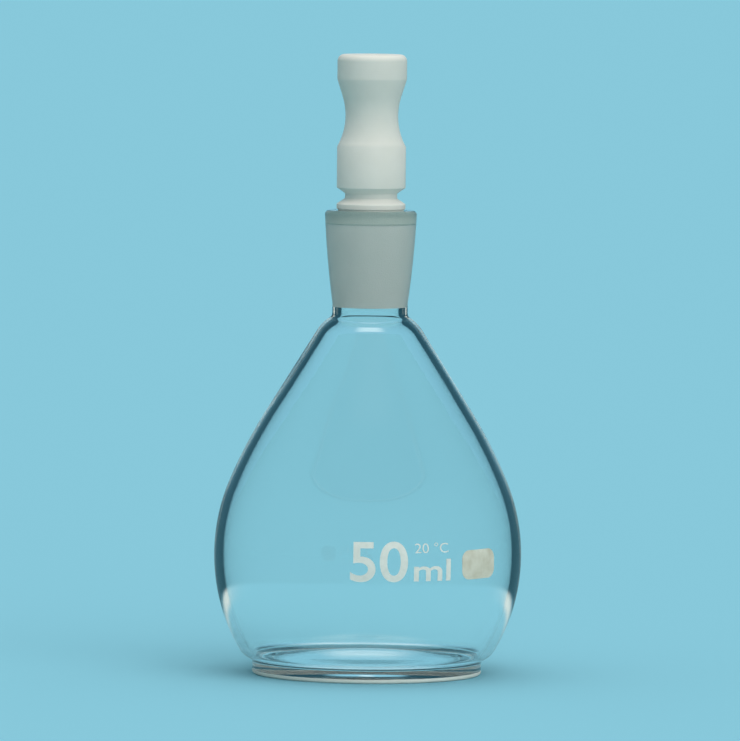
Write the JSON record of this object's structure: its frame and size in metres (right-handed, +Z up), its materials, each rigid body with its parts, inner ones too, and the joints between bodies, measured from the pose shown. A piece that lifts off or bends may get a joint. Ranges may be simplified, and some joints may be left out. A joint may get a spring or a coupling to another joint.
{
  "type": "volumetric flask",
  "caption": "Pear-shaped clear glass volumetric flask with a flat base and a short ground neck, closed by a white turned plastic stopper with a waisted grip; holds a measured volume.",
  "frame": {"origin": "centre of the base, on the surface that the flask stands on", "axes": "+Z up along the flask's axis; -Y is the printed front; +X to the right of the print"},
  "size_m": [0.0466, 0.0466, 0.0938],
  "materials": {
    "clear_glass": "clear borosilicate glass, fire-polished",
    "ground_glass": "ground inside, matt and translucent",
    "ptfe": "turned PTFE, waxy and satin",
    "enamel": "fired enamel, slightly rough"
  },
  "bodies": {
    "flask": {"flask_bulb": "clear_glass", "ground_socket": "ground_glass", "writing_patch": "enamel"},
    "stopper": {"stopper": "ptfe"}
  },
  "joints": [
    {"name": "stopper_lift", "type": "slide", "parent": "flask", "child": "stopper", "axis": [0, 0, 1], "range_m": [0, 0.03]}
  ]
}
